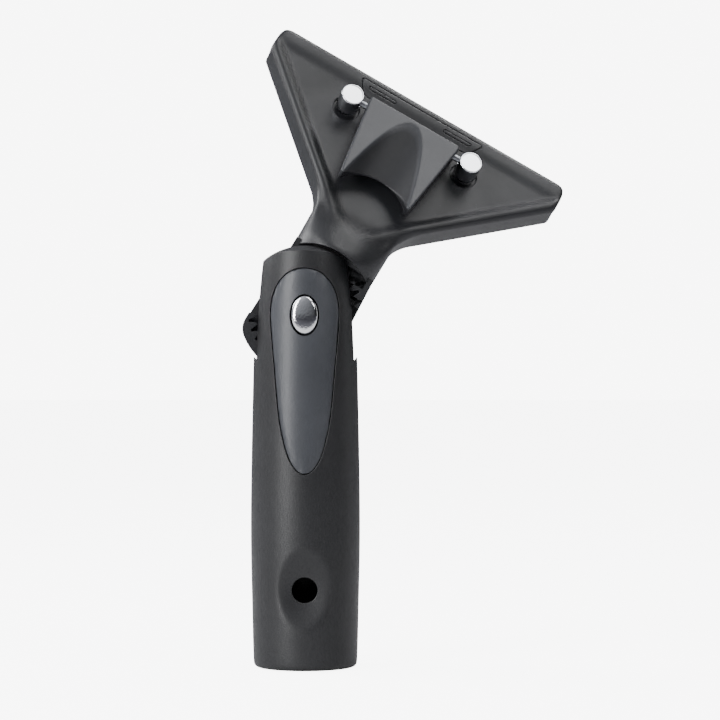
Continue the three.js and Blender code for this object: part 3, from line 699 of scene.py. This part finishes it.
# %% Shape the face like clay
clay = bmesh.new()
clay.from_mesh(head.data)
for vert in clay.verts:
    x, y, s = FLAT @ vert.co
    h = -y
    if h > CHANNEL_HALF:
        target = face_height(x, s)
        squash = (target - CHANNEL_HALF) / (TOP - CHANNEL_HALF)
        lowered = target if h > TOP - 0.05 else CHANNEL_HALF + (h - CHANNEL_HALF) * squash
        h = h + (lowered - h) * smoothstep(-3.5, 15.0, s)
    elif h < -TOP + 1.6:
        far = min(side_distance(x, s), REACH - s, HALF_WIDE - abs(x))
        turn = max(BACK_ROLL - max(far, 0), 0)
        raised = BACK_ROLL - math.sqrt(max(BACK_ROLL ** 2 - turn ** 2, 0))
        h = h + raised * smoothstep(-TOP + 1.6, -TOP, h) * smoothstep(4.0, 12.0, s)
    vert.co = BENT @ Vector((x, -h, s))
for turn in range(20):
    soften(clay, [v for v in clay.verts if -9 < (FLAT @ v.co).z < 17 - 0.3 * turn])
for _ in range(6):
    soften(clay, clay.verts)
clay.to_mesh(head.data)
clay.free()
print("face shaped between", round(FACE, 1), "and", TOP, "mm")

# %% [markdown]
# Along the middle of the front edge the mould leaves a plain panel outlined by a fine groove, with two
# short bars in it. A groove is a thin strip that follows the face at a constant depth, cut away.

# %% Cut the edge panel's grooves
def groove(path, width=0.42, deep=0.38, closed=True):
    line = [Vector(p) for p in path]
    rails = ([], [])
    for n, here in enumerate(line):
        before = line[n - 1] if closed or n else here
        after = line[(n + 1) % len(line)] if closed or n < len(line) - 1 else here
        along = (after - before).normalized()
        across = Vector((-along.y, along.x)) * width / 2
        for rail, way in zip(rails, (1, -1)):
            rail.append(here + across * way)
    bm = bmesh.new()
    rows = [[bm.verts.new((x, -face_height(x, s) + deep, s)) for x, s in rail] for rail in rails]
    count = len(line)
    for n in range(count if closed else count - 1):
        m = (n + 1) % count
        bm.faces.new((rows[0][n], rows[0][m], rows[1][m], rows[1][n]))
    run = bmesh.ops.extrude_face_region(bm, geom=bm.faces[:])["geom"]
    bmesh.ops.translate(bm, vec=(0, -3, 0), verts=[g for g in run if isinstance(g, bmesh.types.BMVert)])
    bmesh.ops.recalc_face_normals(bm, faces=bm.faces)
    return place(bm, BENT)


def dense(outline, step=0.8):
    out = []
    for a, b in zip(outline, outline[1:] + outline[:1]):
        a, b = Vector(a), Vector(b)
        pieces = max(1, int((b - a).length / step))
        out += [tuple(a.lerp(b, k / pieces)) for k in range(pieces)]
    return out


frame_line = rounded([(-24, 60.2), (24, 60.2), (20.5, 54.2), (-20.5, 54.2)], [1.6, 1.6, 2.4, 2.4])
carve(head, groove(dense(frame_line)))
for way in (-1, 1):
    bar = rounded([(way * 20.3, 58.4), (way * 9.5, 58.4), (way * 9.5, 57.2), (way * 19.4, 57.2)], [0.5] * 4)
    carve(head, groove(dense(bar), width=0.3))
print("edge panel:", len(frame_line), "corner points")

# %% [markdown]
# The other openings are cut after the skin is even, so that they stay crisp: the seats and holes of
# the two pins, the holes for the axle and the screw, and the room where the fork's cheeks pass. Two
# ears for the lever's axle are added at the same time.

# %% Cut the openings
PINS, PINS_APART, AXLE, EARS_APART = 46.0, 23, 31.0, 11.3
ear_side = rounded([(AXLE - 2.4, 2.5), (AXLE + 2.4, 2.5), (AXLE + 2.4, 10.4), (AXLE - 2.4, 10.4)],
                   [0, 0, 2.3, 2.3])
for way in (-1, 1):
    x = way * PINS_APART
    carve(head, place(rod(4.75, (x, -8, PINS), (x, -3.3, PINS), 64), BENT))
    carve(head, place(rod(2.65, (x, -8, PINS), (x, 0, PINS), 48), BENT))
    ear = slab(ear_side, way * EARS_APART - 1, way * EARS_APART + 1)
    join(head, place(place(ear, SIDEWAYS), BENT))
carve(head, place(rod(1.3, (-30, -8, AXLE), (30, -8, AXLE), 32), BENT))
carve(head, place(rod(1.4, (0, -8, 38), (0, 0, 38), 32), BENT))
TANG_FRONT, TANG_BACK, CLEAR = 5.9, 5.1, 22.3
carve(head, rod(CLEAR, (0, -30, 0), (0, -TANG_FRONT, 0), 160))
carve(head, rod(CLEAR, (0, TANG_BACK, 0), (0, 30, 0), 160))
carve(head, block(-30, 30, -TANG_FRONT, TANG_BACK, -5, CLEAR * 0.7))
finish_piece(head, "head_moulding", head_plastic, "head", ["head"], matrix=HEAD, sharp=38)

# %% [markdown]
# ### The tang and its toothed ring
# Inside the fork the head ends in a flat tang with a ring of 36 tooth spaces, where the button's lock
# engages. It is an ordinary plate: an outline, a toothed opening, and a plain pocket behind it.

# %% The tang
TANG_ROUND, TEETH, TIPS, ROOTS, LOCK_HALF = 22, 36, 16.5, 19, 13.6


def tang_half(z):
    return 15.45 - 0.042 * z


low = -TANG_ROUND * 0.53
sweep = math.asin((tang_half(low) - 2.2) / TANG_ROUND)
arc = [(TANG_ROUND * math.sin(a), -TANG_ROUND * math.cos(a))
       for a in [sweep * (2 * n / 40 - 1) for n in range(41)]]
corner = (-tang_half(low), -math.sqrt(TANG_ROUND ** 2 - tang_half(low) ** 2))
outline = rounded([(-tang_half(20), 20), (-tang_half(low), low), corner, arc[0]], [0, 0, 2.9, 0])
outline = outline + arc[1:-1] + [(-x, z) for x, z in reversed(outline)]
tang = loose(slab(outline, -TANG_FRONT, TANG_BACK), "head_tang")
star = []
for n in range(TEETH):
    for r, turn in ((ROOTS, -1.2), (ROOTS, 1.2), (TIPS, 3.6), (TIPS, 6.4)):
        angle = math.radians(n * 360 / TEETH + turn)
        star.append((r * math.sin(angle), r * math.cos(angle)))
LOCK_BACK = -TANG_FRONT + 0.1 + 2.6
carve(tang, slab(star, -20, LOCK_BACK + 0.3))
carve(tang, rod(ROOTS + 0.1, (0, LOCK_BACK, 0), (0, 2.4, 0), 96))
gap_half = math.sqrt(TIPS ** 2 - LOCK_HALF ** 2)
carve(tang, block(-30, 30, -20, LOCK_BACK + 0.3, -gap_half, gap_half))
carve(tang, rod(4.5, (0, 0, 0), (0, 20, 0)))
finish_piece(tang, "head_tang", head_plastic, "head", matrix=HEAD)

# %% [markdown]
# ## The release lever
# The thumb lever is a thick wedge with a scooped-out ramp. Its two flat corners catch the light and the
# scoop stays dark, so the edge between them has to be clean but not razor sharp. The solid is cut with
# a long cylinder, then remeshed finely so that every edge has the small radius of a real moulding.

# %% Lever body
LEVER_FRONT, LEVER_REAR, WIDE_FRONT, WIDE_REAR = 49.3, 16.9, 17.4, 13.2
SLAB_BOTTOM = LEVER_TOP - 4.3


def lever_outline(inset, rear):
    slope = (WIDE_FRONT - WIDE_REAR) / (LEVER_FRONT - LEVER_REAR)
    front = LEVER_FRONT - inset
    wide = [WIDE_REAR + slope * (s - LEVER_REAR) - inset for s in (rear, front)]
    return [(wide[0], rear), (wide[1], front), (-wide[1], front), (-wide[0], rear)]


plan = rounded(lever_outline(0, LEVER_REAR), [1.2] * 4)
lever = loose(slab(plan, -LEVER_TOP, -1), "lever_moulding")
profile = [(LEVER_FRONT + 1, 5.8), (LEVER_FRONT + 1, 16), (LEVER_REAR - 1, 16),
           (LEVER_REAR - 1, SLAB_BOTTOM - 0.4), (LEVER_REAR + 0.2, SLAB_BOTTOM - 0.4),
           (LEVER_REAR + 7, SLAB_BOTTOM - 1.9), (AXLE + 1, 5.8)]
carve(lever, place(slab(profile, -30, 30), SIDEWAYS), "INTERSECT")
carve(lever, slab(lever_outline(2, LEVER_REAR - 9), -SLAB_BOTTOM, 5))
slope, SCOOP = math.atan(0.165), 17.6
start = Vector((0, -(LEVER_TOP + SCOOP * math.cos(slope)), LEVER_FRONT - 1.3 - SCOOP * math.sin(slope)))
along = Vector((0, math.sin(slope), -math.cos(slope)))
carve(lever, rod(SCOOP, start - along * 65, start + along * 65, 200))
carve(lever, rod(14.9, (0, -20, 8.4), (0, 5, 8.4), 160))
print("lever:", len(lever.data.vertices), "vertices")

# %% Lever edges and openings
skin = lever.modifiers.new("even skin", "REMESH")
skin.mode, skin.voxel_size = "VOXEL", 0.26
settle(lever)
melt = bmesh.new()
melt.from_mesh(lever.data)
for _ in range(3):
    soften(melt, melt.verts)
melt.to_mesh(lever.data)
melt.free()
for way in (-1, 1):
    x = way * EARS_APART
    carve(lever, block(x - 1.45, x + 1.45, -11.2, 5, AXLE - 3.6, AXLE + 3.6))
carve(lever, rod(1.3, (-30, -8, AXLE), (30, -8, AXLE), 32))
POST_FOOT, POST_HIGH = FACE + 0.3, 9.1
ROD_UP = POST_FOOT + POST_HIGH - 2.6
for shift in (-0.4, 0.4):
    carve(lever, rod(1.45, (-30, -ROD_UP, PINS + shift), (30, -ROD_UP, PINS + shift), 32))
finish_piece(lever, "lever_moulding", lever_plastic, "lever", ["release_lever"],
             matrix=PLATE, sharp=50)

# %% [markdown]
# ## The pins' caps
# Two chromed posts cap the locking pins. Each is a turned part: a straight barrel, a narrow rolled rim,
# and a top that is faintly dished inside the rim, as a lathe leaves it.

# %% Turn the two posts
post_line = [(0.0, POST_HIGH), (1.2, 9.09), (2.4, 9.05), (3.1, 8.99), (3.3, 9.0), (3.5, 9.06), (3.68, 9.05),
             (3.84, 8.95), (3.93, 8.76), (3.96, 8.5), (3.96, 0.5), (3.88, 0.3), (3.7, 0.0), (2.5, 0.0),
             (2.5, 4.9), (0.0, 4.9)]
for name, way in (("left", -1), ("right", 1)):
    post = turned(post_line, 72, closed=False)
    place(post, Matrix.Translation((way * PINS_APART, -POST_FOOT, PINS)) @ FORWARD)
    made = loose(post)
    ends = sorted((way * 14, way * 24))
    carve(made, rod(1.4, (ends[0], -ROD_UP, PINS), (ends[1], -ROD_UP, PINS), 32))
    finish_piece(made, f"post_{name}", cap_chrome, "pins", [f"post_cap_{name}"],
                 matrix=PLATE, sharp=40)

# %% [markdown]
# ## Floor, light and camera
# A pale floor and a pale surround keep the picture plain. A tall soft light on the left gives the grip
# its vertical sheen, and those above light the head: its face and caps from in front, its rolled
# borders and the slope under the lever from behind. A weak one on the right keeps the dark side open.
# The floor gives back little light in front of the handle, so that the chrome has something dark to
# mirror.

# %% Floor
ground = bmesh.new()
bmesh.ops.create_grid(ground, x_segments=1, y_segments=1, size=6.0)
floor = loose(ground, "floor")
floor.location = (0, 0, -0.0004)
paper, tree = fresh_material("Pale floor")
spot = node(tree, "ShaderNodeTexCoord").outputs["Object"]
depth = node(tree, "ShaderNodeSeparateXYZ", {"Vector": spot}).outputs["Y"]
tone = mixed(tree, ramp(tree, depth, -0.42, -0.26), (0.08, 0.08, 0.09), (0.66, 0.66, 0.67))
matt = node(tree, "ShaderNodeBsdfDiffuse", {"Color": tone})
seen = node(tree, "ShaderNodeLightPath").outputs["Is Camera Ray"]
glow = maths(tree, "MULTIPLY", seen, 7.0)
lit = node(tree, "ShaderNodeEmission", {"Color": (1, 1, 1, 1), "Strength": glow})
both = node(tree, "ShaderNodeAddShader", {0: matt.outputs[0], 1: lit.outputs[0]})
node(tree, "ShaderNodeOutputMaterial", {"Surface": both.outputs[0]})
floor.data.materials.append(paper)
print("floor laid at the socket's mouth")


# %% Light
def soft_light(name, place_at, look_at, size, power, size_y=None):
    lamp = bpy.data.lights.new(name, "AREA")
    lamp.shape, lamp.size, lamp.size_y, lamp.energy = "RECTANGLE", size, size_y or size, power
    made = bpy.data.objects.new(name, lamp)
    made.location = place_at
    made.rotation_euler = (Vector(look_at) - Vector(place_at)).to_track_quat("-Z", "Y").to_euler()
    bpy.context.scene.collection.objects.link(made)
    return made


soft_light("Left strip", (-0.64, -0.74, 0.36), (0, 0, 0.13), 0.25, 9.0, 0.7)
soft_light("Top front", (0.5, -0.33, 1.0), (0.03, 0, 0.17), 0.5, 4.0, 0.56)
soft_light("Right fill", (0.8, 0.25, 0.3), (0, 0, 0.12), 0.2, 0.35, 0.5)
soft_light("Back top", (0.5, 0.4, 1.0), (0.03, 0, 0.17), 0.3, 3.6)
soft_light("Upper left", (-0.55, -0.42, 0.85), (0.02, 0, 0.16), 0.35, 2.6)
soft_light("Button spark", (0.675, -0.62, 0.52), (0, 0, 0.117), 0.2, 0.8)
soft_light("Back left", (-0.68, 0.25, 0.58), (0, 0, 0.14), 0.4, 5.5)
surround = bpy.data.worlds.new("Pale surround")
bpy.context.scene.world = surround
surround.use_nodes = True
tree = surround.node_tree
tree.nodes.clear()
seen = node(tree, "ShaderNodeLightPath").outputs["Is Camera Ray"]
pale = node(tree, "ShaderNodeBackground", {"Color": (1, 1, 1, 1), "Strength": 8.0})
spot = node(tree, "ShaderNodeTexCoord").outputs["Generated"]
towards = node(tree, "ShaderNodeSeparateXYZ", {"Vector": spot}).outputs
leftward = ramp(tree, towards["X"], 0.75, -0.85, 0.03, 0.62)
upward = ramp(tree, towards["Z"], 0.0, 0.9, 0.5, 1.7)
glow = maths(tree, "MULTIPLY", leftward, upward)
dim = node(tree, "ShaderNodeBackground", {"Color": (0.9, 0.93, 1.0, 1), "Strength": glow})
both = node(tree, "ShaderNodeMixShader", {0: seen, 1: dim.outputs[0], 2: pale.outputs[0]})
node(tree, "ShaderNodeOutputWorld", {"Surface": both.outputs[0]})

# %% Camera
lens = bpy.data.cameras.new("camera")
lens.lens, lens.sensor_width = 135.0, 36.0
lens.clip_start, lens.clip_end = 0.05, 20.0
camera = bpy.data.objects.new("camera", lens)
camera.location = (0.01817, -0.9, 0.102)
camera.rotation_euler = (math.pi / 2, 0, 0)
bpy.context.scene.collection.objects.link(camera)
bpy.context.scene.camera = camera
